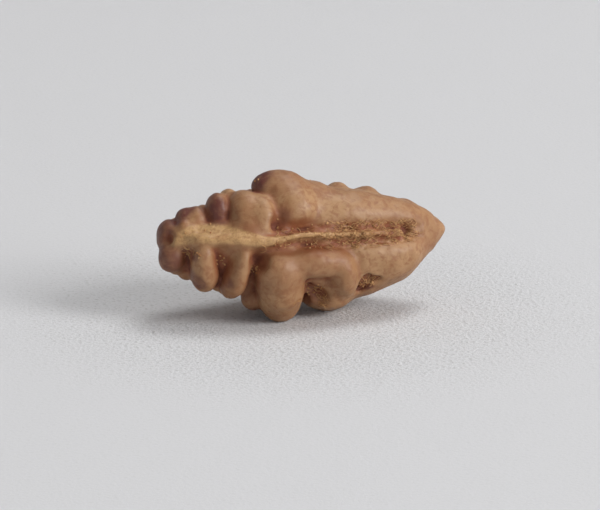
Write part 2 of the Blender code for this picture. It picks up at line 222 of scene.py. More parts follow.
# Hollows between the lobes, as lobes that are taken away
HOLLOWS = (
    Lobe(-9.6, 34, 2.12, (0.42, 0.50, 0.52), pitch=-35, soft=0.3),
    Lobe(-2.40, 36, 4.45, (0.34, 0.36, 0.55), soft=0.5),
    Lobe(-3.75, -3, 4.75, (0.55, 0.6, 1.0)),
    Lobe(-4.00, -50, 4.7, (0.5, 0.6, 0.8)),
    Lobe(0.62, -48, 5.35, (0.85, 0.80, 0.95)),
    Lobe(0.1, -42, 4.9, (0.36, 0.40, 0.85), soft=0.25),
    Lobe(0.0, -64, 5.6, (0.36, 0.95, 1.1), soft=0.25),
    Lobe(3.95, -42, 4.75, (0.40, 0.95, 1.15), lean=-14, soft=0.3),
    Lobe(4.55, -36, 4.55, (0.55, 0.30, 0.85), soft=0.3),
    Lobe(7.1, 25, 3.05, (0.42, 0.50, 0.5), soft=0.3),
)

# Rows of lobes on the sides that face away: turn, start, stop and share of the outline
BACK_ROWS = ((120, -7.8, -1.0, 0.86), (152, -8.3, 0.4, 0.97), (178, -7.6, 0.2, 0.98),
             (204, -8.2, 0.6, 0.98), (230, -7.6, -0.2, 0.97), (268, -7.9, -3.0, 0.90),
             (290, -7.2, -3.2, 0.84))
BACK_POINT_TURNS = (163, 190, 217, 268, 292)
BACK_POINT_ROW = ((1.6, 0.98, 2.1), (4.0, 0.98, 2.3), (6.0, 0.97, 1.9))
BACK_SEED = 11


def smooth_through(stations: Stations, along: Array | float) -> Array:
    """Read a smooth curve through (along, value) stations.

    Args:
        stations: Places along the axis with a value at each.
        along: Places to read the curve at.

    Returns:
        The curve's value at each place.
    """
    at, value = np.array(stations, dtype=float).T
    slope = np.gradient(value, at)
    place = np.clip(along, at[0], at[-1])
    left = np.clip(np.searchsorted(at, place, side="right") - 1, 0, len(at) - 2)
    span = at[left + 1] - at[left]
    t = (place - at[left]) / span
    rise = value[left + 1] - value[left]
    bend_in = slope[left] * span - rise
    bend_out = rise - slope[left + 1] * span
    return value[left] + t * rise + t * (1 - t) * ((1 - t) * bend_in + t * bend_out)


def axis_rise(along: Array | float) -> Array:
    """Height of the stone's axis over its middle, in mm."""
    return smooth_through(AXIS_RISE, along)


def fade(value: Array, low: float, high: float) -> Array:
    """Smooth step from 0 at `low` to 1 at `high`."""
    t = np.clip((value - low) / (high - low), 0.0, 1.0)
    return t * t * (3.0 - 2.0 * t)


def lobe_frame(lobe: Lobe) -> tuple[Array, Array]:
    """Find where a lobe stands.

    Args:
        lobe: The lobe.

    Returns:
        Its middle, and its own along, round and outward directions as columns.
    """
    turn = math.radians(lobe.turn)
    outward = np.array((0.0, -math.cos(turn), math.sin(turn)))
    round_way = np.array((0.0, math.sin(turn), math.cos(turn)))
    along_way = np.array((1.0, 0.0, 0.0))
    pitch = math.radians(lobe.pitch)
    out = outward * math.cos(pitch) + along_way * math.sin(pitch)
    ahead = along_way * math.cos(pitch) - outward * math.sin(pitch)
    lean = math.radians(lobe.lean)
    first = ahead * math.cos(lean) + round_way * math.sin(lean)
    second = round_way * math.cos(lean) - ahead * math.sin(lean)
    middle = np.array((lobe.along, 0.0, float(axis_rise(lobe.along))))
    return middle + outward * (lobe.reach - lobe.size[2]), np.stack((first, second, out), axis=1)


def ellipsoid_distance(points: Array, middle: Array, ways: Array,
                       size: Triple) -> Array:
    """Distance from points to an ellipsoid, near enough, below zero inside.

    Args:
        points: Places in mm, one row each.
        middle: The ellipsoid's middle.
        ways: Its own directions as columns.
        size: Its half sizes along them.

    Returns:
        One distance for each point.
    """
    local = (points - middle) @ ways
    half = np.array(size)
    near = np.linalg.norm(local / half, axis=1)
    steep = np.maximum(np.linalg.norm(local / half ** 2, axis=1), 1e-6)
    return near * (near - 1.0) / steep


def soft_union(first: Array, second: Array, soft: float) -> Array:
    """Smaller of two distances, with a fillet `soft` wide."""
    overlap = np.maximum(soft - np.abs(first - second), 0.0) / soft
    return np.minimum(first, second) - overlap ** 2 * soft / 4.0


def around_axis(points: Array) -> tuple[Array, Array]:
    """Distance from the bowed axis, and turn round it in degrees."""
    up = points[:, 2] - axis_rise(points[:, 0])
    return np.hypot(points[:, 1], up), np.degrees(np.arctan2(up, -points[:, 1]))


def turn_between(turn: Array, other: Array | float) -> Array:
    """Turn from one place to another in degrees, the short way round."""
    return (turn - other + 180.0) % 360.0 - 180.0


def back_lobes() -> tuple[Lobe, ...]:
    """Lobes of the sides that face away: rows between the seams, small at the stem end."""
    draw = np.random.default_rng(BACK_SEED)
    lobes = []
    for turn, start, stop, share in BACK_ROWS:
        along = start
        while along < stop:
            reach = float(smooth_through(OUTLINE, along))
            half = 0.36 + 0.155 * reach + draw.uniform(-0.08, 0.08)
            sway = draw.uniform(-4.0, 4.0)
            size = (half, half * draw.uniform(1.0, 1.3), half * 1.1)
            lobes.append(Lobe(along, turn + sway, reach * share * draw.uniform(0.95, 1.02), size,
                              lean=draw.uniform(-25, 25), soft=0.25))
            along += half * 1.85
    return tuple(lobes)


def back_point() -> tuple[Lobe, ...]:
    """Smooth swellings of the point half on the sides that face away."""
    lobes = []
    for turn in BACK_POINT_TURNS:
        for along, share, half in BACK_POINT_ROW:
            reach = float(smooth_through(OUTLINE, along)) * share
            lobes.append(Lobe(along, turn, reach, (half, 0.45 * reach, 0.4 * reach), soft=0.8))
    return tuple(lobes)


def seam_beds() -> tuple[Lobe, ...]:
    """Low swellings along every seam, which its keel and furrow are set in."""
    return tuple(Lobe(along, float(smooth_through(seam.path, along)), reach, (2.0, 1.2, 1.1), soft=0.6)
                 for seam in SEAMS for along, reach in SEAM_BED)


# A distance greater than any on the stone, in mm, and four ways that lie evenly about a point
FAR_OFF = 50.0
PROBES = ((1, 1, 1), (1, -1, -1), (-1, 1, -1), (-1, -1, 1))

ALL_LOBES = (seam_beds() + STEM_END + KEEL_SLOPE + UPPER_FRONT + UPPER_POINT + LOWER_FRONT
             + LOWER_POINT + FEET + back_lobes() + back_point())


@dataclass(frozen=True)
class StoneForm:
    """The stone's surface as a distance in mm, below zero inside."""

    core_soft: float = 1.2
    keel_soft: float = 0.45
    furrow_wall: float = 3.5
    near_lobe: float = 2.0
    probe: float = 0.02
    reach: float = 0.2
    least_slope: float = 0.25

    def seam_side(self, points: Array, seam: Seam) -> tuple[Array, Array]:
        """Find how points lie to a seam.

        Args:
            points: Places in mm.
            seam: The seam.

        Returns:
            Arc length to the seam, above zero on its higher turn, and distance from the axis.
        """
        reach, turn = around_axis(points)
        away = turn_between(turn, smooth_through(seam.path, points[:, 0]))
        return reach * np.radians(away), reach

    def keel(self, points: Array, seam: Seam) -> Array:
        """Distance to the thin ridge that follows a seam."""
        side, reach = self.seam_side(points, seam)
        crest = smooth_through(seam.crest, points[:, 0])
        half = smooth_through(KEEL_HALF, points[:, 0])
        past_end = np.maximum(seam.crest[0][0] - points[:, 0], points[:, 0] - seam.crest[-1][0])
        past_top = np.maximum(reach - (crest - half), past_end)
        return np.hypot(np.maximum(past_top, 0.0), side) - half

    def furrow(self, points: Array, seam: Seam) -> Array:
        """Depth by which the furrow along a seam lowers the surface."""
        side = self.seam_side(points, seam)[0]
        half = smooth_through(FURROW_HALF, points[:, 0])
        deep = np.maximum(smooth_through(seam.furrow, points[:, 0]), 0.0)
        return deep / (1.0 + np.abs(side / half) ** self.furrow_wall)

    def lobes(self, points: Array, body: Array) -> Array:
        """Join every lobe to the core, each where it comes near.

        Args:
            points: Places in mm.
            body: Distance to the core, which is changed.

        Returns:
            The number of the lobe that is nearest to each point.
        """
        nearest = np.zeros(len(points), dtype=int)
        least = np.full(len(points), FAR_OFF)
        for number, lobe in enumerate(ALL_LOBES):
            middle, ways = lobe_frame(lobe)
            close = np.linalg.norm(points - middle, axis=1) < max(lobe.size) + self.near_lobe
            distance = ellipsoid_distance(points[close], middle, ways, lobe.size)
            body[close] = soft_union(body[close], distance, lobe.soft)
            nearest[close] = np.where(distance < least[close], number, nearest[close])
            least[close] = np.minimum(distance, least[close])
        return nearest

    def distance(self, points: Array) -> Array:
        """Distance from points to the surface of the stone."""
        body = np.full(len(points), FAR_OFF)
        for middle, size in CORE:
            core = ellipsoid_distance(points, np.array(middle), np.eye(3), size)
            body = soft_union(body, core, self.core_soft)
        self.lobes(points, body)
        for seam in SEAMS:
            body = body + self.furrow(points, seam)
            body = soft_union(body, self.keel(points, seam), self.keel_soft)
        for hollow in HOLLOWS:
            middle, ways = lobe_frame(hollow)
            taken = ellipsoid_distance(points, middle, ways, hollow.size)
            body = -soft_union(-body, taken, hollow.soft)
        return body

    def slope(self, points: Array) -> Array:
        """Direction in which the distance grows, from four probes about each point."""
        slope = np.zeros_like(points)
        for probe in PROBES:
            way = np.array(probe, dtype=float)
            slope += way * self.distance(points + way * self.probe)[:, None]
        return slope / (len(PROBES) * self.probe)

    def settle(self, points: Array, steps: int) -> Array:
        """Move points onto the surface, by a few careful steps.

        Args:
            points: Places in mm.
            steps: Number of steps.

        Returns:
            The moved places.
        """
        for _ in range(steps):
            slope = self.slope(points)
            steep = np.maximum(np.sum(slope ** 2, axis=1), self.least_slope)
            move = np.clip(self.distance(points) / steep, -self.reach, self.reach)
            points = points - slope * move[:, None]
        return points


FORM = StoneForm()


class Trait(str, Enum):
    """Names of the numbers that the stone's vertices carry."""

    # How far a vertex lies in a narrow crease: a mask for painted shade and for rougher skin
    CREASE = "crease"
    # How deep a vertex lies in a wide valley: a mask for painted shade
    VALLEY = "valley_shade"
    # How open the space off the skin is, like ambient occlusion: a mask for painted shade
    FAR = "open_far"
    BAND = "seam_band"
    CREST = "keel_crest"
    SHELF = "pale_shelf"
    TINT = "lobe_tint"
    # Dark patches: partly real stains, partly painted shade on the shaded sides of lobes and in pits
    STAIN_AND_SHADE = "stain_and_shade"
    RUST = "rust"
    FIBRE = "fibre_bed"
    CRUMB = "crumb_bed"
    PIECE = "piece_tint"


def to_form(points: Array) -> Array:
    """Turn places in metres, as packed, into mm round the stone's axis."""
    return points / MM + np.array((*BOX_MIDDLE, -AXIS_HEIGHT))


def to_row(points: Array) -> Array:
    """Turn mm round the stone's axis into metres, as packed."""
    return (points - np.array((*BOX_MIDDLE, -AXIS_HEIGHT))) * MM


def read_points(mesh: bpy.types.Mesh) -> Array:
    """Vertices of a mesh, one row each."""
    flat = np.empty(len(mesh.vertices) * 3)
    mesh.vertices.foreach_get("co", flat)
    return flat.reshape(-1, 3)


def write_points(mesh: bpy.types.Mesh, points: Array) -> None:
    """Put vertices in new places."""
    mesh.vertices.foreach_set("co", points.ravel())
    mesh.update()


def read_normals(mesh: bpy.types.Mesh) -> Array:
    """Vertex normals of a mesh, one row each."""
    flat = np.empty(len(mesh.vertices) * 3, dtype=np.float32)
    mesh.vertex_normals.foreach_get("vector", flat)
    return flat.reshape(-1, 3).astype(float)


def write_trait(mesh: bpy.types.Mesh, trait: Trait, values: Array) -> None:
    """Store one number for each vertex."""
    attribute = mesh.attributes.new(trait.value, "FLOAT", "POINT")
    attribute.data.foreach_set("value", values.astype(np.float32))


def settle_in_row(piece: Piece) -> None:
    """Carry a piece from the form's millimetres to the row's metres, and let it ride."""
    write_points(piece.data, to_row(read_points(piece.data)))
    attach(piece, BODY)


def link(piece: Piece) -> Piece:
    """Put an object in the scene."""
    bpy.context.scene.collection.objects.link(piece)
    return piece


def make_plain(piece: Piece) -> None:
    """Turn an object's evaluated shape into its own mesh, without modifiers."""
    shape = piece.evaluated_get(bpy.context.evaluated_depsgraph_get())
    data = bpy.data.meshes.new_from_object(shape)
    piece.modifiers.clear()
    piece.data = data


class Blur:
    """Smoothing of numbers over a mesh, from each vertex to its neighbours."""

    def __init__(self, mesh: bpy.types.Mesh) -> None:
        """Read the mesh's edges."""
        ends = np.empty(len(mesh.edges) * 2, dtype=np.int32)
        mesh.edges.foreach_get("vertices", ends)
        self.first, self.second = ends.reshape(-1, 2).T
        self.total = len(mesh.vertices)
        self.count = np.maximum(self.gather(np.ones(self.total)), 1.0)
        points = read_points(mesh)
        self.step = float(np.mean(np.linalg.norm(points[self.first] - points[self.second], axis=1)))

    def gather(self, values: Array) -> Array:
        """Sum of each vertex's neighbours."""
        return (np.bincount(self.first, values[self.second], self.total)
                + np.bincount(self.second, values[self.first], self.total))

    def spread(self, values: Array, width: float) -> Array:
        """Smooth numbers over about `width` mm.

        Args:
            values: One number for each vertex.
            width: How far the smoothing reaches.

        Returns:
            The smoothed numbers.
        """
        for _ in range(max(1, round((2.0 * width / self.step) ** 2))):
            values = 0.5 * values + 0.5 * self.gather(values) / self.count
        return values

    def dish(self, points: Array, normals: Array, width: float) -> Array:
        """How far the skin lies under its smoothed self, in mm: above zero in creases."""
        smooth = np.stack([self.spread(points[:, axis], width) for axis in range(3)], axis=1)
        return np.sum((smooth - points) * normals, axis=1)


class Nodes:
    """A short way to write a node tree: each method adds one node and gives its output."""

    def __init__(self, tree: bpy.types.NodeTree) -> None:
        """Start on a tree."""
        self.tree = tree

    def add(self, kind: str, inputs: dict | None = None, **settings: object) -> bpy.types.Node:
        """Add one node.

        Args:
            kind: The node's type name.
            inputs: Values or sockets for its inputs, by name or number.
            **settings: Values of its own properties.

        Returns:
            The node.
        """
        node = self.tree.nodes.new(kind)
        for name, value in settings.items():
            setattr(node, name, value)
        for name, value in (inputs or {}).items():
            self.feed(node.inputs[name], value)
        return node

    def feed(self, socket: Socket, value: object) -> None:
        """Link a socket to an input, or set its value."""
        if isinstance(value, Socket):
            self.tree.links.new(value, socket)
        else:
            socket.default_value = value

    def math(self, operation: str, first: object, second: object = 0.0,
             clamp: bool = False) -> Socket:
        """One step of arithmetic on two numbers."""
        kind = "ShaderNodeMath"
        node = self.add(kind, {0: first, 1: second}, operation=operation, use_clamp=clamp)
        return node.outputs[0]

    def times(self, first: object, second: object) -> Socket:
        """Product of two numbers."""
        return self.math("MULTIPLY", first, second)

    def span(self, value: object, low: float, high: float, to_low: float = 0.0,
             to_high: float = 1.0) -> Socket:
        """Carry a number from one range smoothly to another."""
        node = self.add("ShaderNodeMapRange", {"Value": value, "From Min": low, "From Max": high,
                                               "To Min": to_low, "To Max": to_high},
                        interpolation_type="SMOOTHSTEP")
        return node.outputs["Result"]

    def noise(self, place: object, scale: float, detail: float = 3.0, rough: float = 0.5,
              twist: float = 0.0) -> Socket:
        """Cloudy noise between 0 and 1."""
        node = self.add("ShaderNodeTexNoise", {"Vector": place, "Scale": scale, "Detail": detail,
                                               "Roughness": rough, "Distortion": twist})
        return node.outputs[0]

    def scaled(self, vector: object, size: object) -> Socket:
        """A vector made longer or shorter."""
        return self.add("ShaderNodeVectorMath", {0: vector, "Scale": size}, operation="SCALE").outputs[0]

    def stretch(self, place: object, scale: Triple, shift: Triple = (0, 0, 0)) -> Socket:
        """Stretch and shift a place before a texture reads it."""
        drawn = self.add("ShaderNodeVectorMath", {0: place, 1: scale}, operation="MULTIPLY")
        moved = self.add("ShaderNodeVectorMath", {0: drawn.outputs[0], 1: shift}, operation="ADD")
        return moved.outputs[0]


class Paint(Nodes):
    """Node writing for materials."""

    def mix(self, share: object, first: object, second: object) -> Socket:
        """Blend two colours."""
        node = self.add("ShaderNodeMix", {0: share, 6: first, 7: second}, data_type="RGBA",
                        clamp_factor=True)
        return node.outputs[2]

    def trait(self, trait: Trait) -> Socket:
        """Read a number that the vertices carry."""
        return self.add("ShaderNodeAttribute", attribute_name=trait.value).outputs["Fac"]

    def place_mm(self) -> Socket:
        """Object coordinates in millimetres."""
        coords = self.add("ShaderNodeTexCoord").outputs["Object"]
        return self.add("ShaderNodeMapping", {"Vector": coords, "Scale": (1 / MM,) * 3}).outputs[0]

    def bump(self, height: object, strength: float, reach: float,
             under: object | None = None) -> Socket:
        """Tilt the normal by a height in mm."""
        inputs = {"Height": height, "Strength": strength, "Distance": reach * MM}
        if under is not None:
            inputs["Normal"] = under
        return self.add("ShaderNodeBump", inputs).outputs[0]


class Recipe(Nodes):
    """A Geometry Nodes tree with named inputs, and its use on a piece."""

    def __init__(self, name: str) -> None:
        """Start a tree with its geometry sockets."""
        tree = bpy.data.node_groups.new(name, "GeometryNodeTree")
        tree.is_modifier = True
        tree.interface.new_socket("Geometry", in_out="INPUT", socket_type="NodeSocketGeometry")
        tree.interface.new_socket("Geometry", in_out="OUTPUT", socket_type="NodeSocketGeometry")
        super().__init__(tree)
        self.start = self.add("NodeGroupInput")
        self.values: dict[str, object] = {}

    def size(self, name: str, value: float | int) -> Socket:
        """Add a named input for a size or a seed, and give its socket."""
        kind = "NodeSocketInt" if isinstance(value, int) else "NodeSocketFloat"
        item = self.tree.interface.new_socket(name, in_out="INPUT", socket_type=kind)
        self.values[item.identifier] = value
        return self.start.outputs[name]

    def trait(self, trait: Trait) -> Socket:
        """Read a number that the vertices carry."""
        return self.add("GeometryNodeInputNamedAttribute", {"Name": trait.value},
                        data_type="FLOAT").outputs["Attribute"]

    def draw(self, low: object, high: object, seed: Socket, number: int) -> Socket:
        """A random number for each element: the draw of this number after the seed."""
        own = self.math("ADD", seed, float(number))
        node = self.add("FunctionNodeRandomValue", {2: low, 3: high, "Seed": own}, data_type="FLOAT")
        return node.outputs[1]

    def vector(self, x: object, y: object, z: object) -> Socket:
        """Three numbers as one vector."""
        return self.add("ShaderNodeCombineXYZ", {0: x, 1: y, 2: z}).outputs[0]

    def cook(self, piece: Piece, geometry: Socket,
             material: bpy.types.Material) -> None:
        """Close the tree, run it on a piece and keep the result as a plain mesh.

        Args:
            piece: The object to change.
            geometry: The last geometry of the tree.
            material: The material of everything that the tree makes.
        """
        real = self.add("GeometryNodeRealizeInstances", {0: geometry}).outputs[0]
        dressed = self.add("GeometryNodeSetMaterial", {"Geometry": real, "Material": material})
        self.add("NodeGroupOutput", {0: dressed.outputs[0]})
        modifier = piece.modifiers.new(self.tree.name, "NODES")
        modifier.node_group = self.tree
        for identifier, value in self.values.items():
            modifier[identifier] = value
        make_plain(piece)


def new_material(name: str) -> tuple[bpy.types.Material, Paint, bpy.types.Node]:
    """Start a material.

    Args:
        name: Its name.

    Returns:
        The material, a writer for its nodes, and its Principled shader.
    """
    material = bpy.data.materials.new(name)
    material.use_nodes = True
    shader = material.node_tree.nodes["Principled BSDF"]
    return material, Paint(material.node_tree), shader


Colour = tuple[float, float, float, float]


def shade(red: float, green: float, blue: float) -> Colour:
    """A colour as seen on a screen, 0 to 255, turned linear for a shader."""
    return tuple(((value / 255 + 0.055) / 1.055) ** 2.4 for value in (red, green, blue)) + (1.0,)


@dataclass(frozen=True)
class StoneFinish:
    """Dry skin of the stone: tan lobes and straw-coloured seams, with red-brown painted shade in its creases
    and valleys, and dark patches that are partly real stains and partly painted shade.
    """

    pale: Colour = shade(171, 132, 94)
    body: Colour = shade(156, 115, 78)
    warm: Colour = shade(137, 88, 56)
    straw: Colour = shade(190, 151, 102)
    matted: Colour = shade(166, 120, 78)
    rust: Colour = shade(136, 76, 46)
    # Painted shade laid in valleys and in places closed in by other lobes
    valley_shade_colour: Colour = shade(136, 84, 57)
    # Painted shade in narrow creases
    crease: Colour = shade(128, 68, 44)
    # Painted shade in the deepest crevices, where narrow creases lie in valleys
    depth: Colour = shade(78, 38, 32)
    # Dark red-brown of patches that are partly real stains and partly painted shade
    stain_and_shade: Colour = shade(98, 50, 42)
    sheen_rough: float = 0.46
    dry_rough: float = 0.78

    def material(self) -> bpy.types.Material:
        """Build the material."""
        material, paint, shader = new_material("stone_skin")
        place = paint.place_mm()
        cloud = paint.noise(place, 0.42, 4.0, 0.55)
        mottle = paint.noise(place, 1.9, 5.0, 0.6, 0.6)
        fine = paint.noise(place, 7.5, 4.0, 0.65)
        streak = paint.noise(paint.stretch(place, (0.35, 1.0, 1.0)), 2.6, 5.0, 0.65, 0.4)
        # Painted shade: how closed in each point is, from the openness number, and how deep it lies in a wide
        # valley
        far = paint.math("SUBTRACT", 1.0, paint.span(paint.trait(Trait.FAR), 0.15, 0.85))
        valley_shade = paint.math("MAXIMUM", far, paint.trait(Trait.VALLEY))
        # Narrow creases: they get painted shade in the colour below and a drier roughness
        crease = paint.times(paint.trait(Trait.CREASE), paint.span(fine, 0.3, 0.65, 0.75, 1.0))
        # Deepest crevices, darkest painted shade
        deep = paint.times(paint.span(crease, 0.45, 1.0), paint.span(valley_shade, 0.3, 0.9))
        # Dark patches: partly real stains, partly painted shade on shaded sides and in pits
        stain_and_shade = paint.times(paint.trait(Trait.STAIN_AND_SHADE), paint.span(mottle, 0.25, 0.6, 0.6, 1.0))
        ridge = paint.math("MAXIMUM", paint.trait(Trait.CREST), paint.trait(Trait.SHELF))
        worn = paint.times(paint.span(streak, 0.5, 0.66), paint.span(mottle, 0.3, 0.6, 0.2, 0.8))
        layers = (
            (paint.span(mottle, 0.42, 0.68), 0.7, self.warm),
            (paint.trait(Trait.TINT), 0.45, self.warm),
            # Partly real stains, partly painted shade
            (stain_and_shade, 1.0, self.stain_and_shade),
            # Painted shade in valleys and closed-in places
            (valley_shade, 0.7, self.valley_shade_colour),
            (paint.trait(Trait.BAND), 0.85,
             paint.mix(paint.span(streak, 0.42, 0.58), self.rust, self.matted)),
            (paint.trait(Trait.RUST), 0.7, self.rust),
            (paint.times(ridge, paint.span(fine, 0.3, 0.6, 0.35, 0.95)), 1.0,
             paint.mix(worn, self.straw, self.matted)),
            # Painted shade in narrow creases
            (crease, 0.75, self.crease),
            # Painted shade in the deepest crevices
            (deep, 0.5, self.depth),
        )
        colour = paint.mix(paint.span(cloud, 0.36, 0.64), self.body, self.pale)
        for amount, most, laid in layers:
            colour = paint.mix(paint.times(amount, most), colour, laid)
        paint.feed(shader.inputs["Base Color"], colour)
        rough = paint.span(crease, 0.0, 0.6, self.sheen_rough, self.dry_rough)
        rough = paint.math("ADD", rough, paint.span(fine, 0.2, 0.8, -0.06, 0.08))
        paint.feed(shader.inputs["Roughness"], rough)
        shader.inputs["Specular IOR Level"].default_value = 0.42
        grain = paint.noise(place, 11.0, 5.0, 0.6)
        pores = paint.noise(paint.stretch(place, (2.2, 5.0, 5.0)), 2.4, 3.0, 0.55)
        low = paint.bump(pores, 0.35, 0.05)
        paint.feed(shader.inputs["Normal"], paint.bump(grain, 0.3, 0.03, low))
        return material


@dataclass(frozen=True)
class PaperFinish:
    """Pale grey paper with a fine tooth."""

    sheet: Colour = shade(214, 214, 216)
    speck: Colour = shade(180, 179, 178)
    tooth_mm: float = 0.28
    clear_mm: float = 26.0

    def material(self) -> bpy.types.Material:
        """Build the material."""
        material, paint, shader = new_material("pale_paper")
        place = paint.place_mm()
        tooth = paint.noise(place, 1.0 / self.tooth_mm, 3.0, 0.6)
        distance = paint.add("ShaderNodeVectorMath", {0: place}, operation="LENGTH").outputs["Value"]
        near = paint.span(distance, self.clear_mm * 0.4, self.clear_mm, 1.0, 0.15)
        speck = paint.times(paint.span(tooth, 0.5, 0.75), near)
        paint.feed(shader.inputs["Base Color"], paint.mix(speck, self.sheet, self.speck))
        shader.inputs["Roughness"].default_value = 0.9
        shader.inputs["Specular IOR Level"].default_value = 0.2
        height = paint.times(tooth, near)
        paint.feed(shader.inputs["Normal"], paint.bump(height, 0.9, 0.12))
        return material


@dataclass(frozen=True)
class Relief:
    """Low relief of the skin, in mm: worn swells, close grain, and torn matter along the seams."""

    swell_depth: float = 0.07
    swell_size: float = 1.1
    grain_depth: float = 0.03
    grain_size: float = 0.42
    torn_depth: float = 0.22
    torn_size: float = 0.34
    clear_of_paper: float = 0.35

    def carve(self, piece: Piece, material: bpy.types.Material) -> None:
        """Move the piece's surface by its relief."""
        recipe = Recipe("worn_skin")
        geometry = recipe.start.outputs["Geometry"]
        place = recipe.add("GeometryNodeInputPosition").outputs[0]
        normal = recipe.add("GeometryNodeInputNormal").outputs[0]
        swell = self.layer(recipe, place, recipe.size("Swell Size", self.swell_size),
                           recipe.size("Swell Depth", self.swell_depth), 1.0)
        grain = self.layer(recipe, place, recipe.size("Grain Size", self.grain_size),
                           recipe.size("Grain Depth", self.grain_depth), 3.0)
        drawn = recipe.stretch(place, (0.45, 1.0, 1.0), (3.1, 7.7, 1.9))
        torn = self.layer(recipe, drawn, recipe.size("Torn Size", self.torn_size),
                          recipe.size("Torn Depth", self.torn_depth), 3.0)
        loose = recipe.math("MAXIMUM", recipe.trait(Trait.BAND),
                            recipe.times(recipe.trait(Trait.SHELF), 0.6))
        total = recipe.math("ADD", recipe.math("ADD", swell, grain), recipe.times(torn, loose))
        height = recipe.add("ShaderNodeSeparateXYZ", {0: place}).outputs["Z"]
        lift = recipe.span(height, -AXIS_HEIGHT, -AXIS_HEIGHT + self.clear_of_paper)
        push = recipe.scaled(normal, recipe.times(total, lift))
        moved = recipe.add("GeometryNodeSetPosition", {"Geometry": geometry, "Offset": push})
        recipe.cook(piece, moved.outputs[0], material)

    def layer(self, recipe: Recipe, place: Socket, size: Socket,
              depth: Socket, detail: float) -> Socket:
        """One layer of noise, as a height in mm about zero."""
        noise = recipe.noise(place, recipe.math("DIVIDE", 1.0, size), detail, 0.55)
        return recipe.times(recipe.math("SUBTRACT", noise, 0.5), recipe.times(depth, 2.0))


# Places on the stone with fibres, with crumbs, with dark patches that are partly real stains and partly
# painted shade, and with a red-brown tinge
FIBRE_SPOTS = (
    Spot(0.55, -50, 0.5, 0.7), Spot(1.1, -54, 0.45, 0.9), Spot(4.5, -40, 0.55, 0.8), Spot(7.1, 25, 0.85),
    Spot(-1.0, -40, 0.3, 0.5), Spot(-8.2, 4, 0.4, 0.4), Spot(-3.3, 10, 0.35, 0.3),
)
CRUMB_SPOTS = (
    Spot(-6.1, -9, 0.5), Spot(-8.2, 0, 0.5), Spot(-4.0, -16, 0.4), Spot(1.3, 96, 0.7, 0.8),
    Spot(0.55, -47, 0.8, 0.7), Spot(4.35, -42, 0.5, 0.7), Spot(-3.2, 84, 0.3), Spot(-2.3, 38, 0.4, 0.3),
)
# Dark patches: some are the skin's own dark red-brown, most are painted shade on the shaded sides of lobes
# and in pits; one painted shadow fills the second hollow, which is made shallower here
STAIN_AND_SHADE_SPOTS = (
    Spot(-3.1, 86, 1.2, 1.0), Spot(-7.9, 84, 0.8, 0.9), Spot(-6.1, 60, 1.0, 0.95), Spot(-6.6, 80, 0.9, 0.7),
    Spot(-8.5, 80, 0.9, 1.0), Spot(-9.4, 95, 1.1, 0.8), Spot(-9.7, 60, 0.7, 0.8), Spot(-9.4, -26, 1.1, 0.8),
    Spot(-7.9, -38, 0.8, 0.7), Spot(-8.3, 0, 0.5, 0.8), Spot(-3.4, -76, 1.0, 0.6), Spot(-2.1, 42, 0.75, 0.5),
    Spot(-2.35, 37, 0.3, 1.0), Spot(0.45, -50, 0.75, 0.8), Spot(4.2, -46, 0.55, 0.9), Spot(7.0, 25, 0.4, 0.7),
    Spot(-5.9, -30, 0.5, 0.6),
)
RUST_SPOTS = (
    Spot(-1.6, 30, 0.9, 0.9), Spot(-0.4, 30, 0.7, 0.7), Spot(-4.2, 30, 0.6, 0.5), Spot(-6.2, -6, 0.7, 0.8),
    Spot(-6.1, -20, 0.5, 0.6), Spot(-4.0, -2, 0.5, 0.6), Spot(0.3, 13, 1.0, 0.6), Spot(2.2, 13, 0.9, 0.5),
    Spot(-7.4, 50, 0.5, 0.6), Spot(-1.9, 44, 0.8, 0.5), Spot(-9.55, 38, 0.5, 0.5),
)


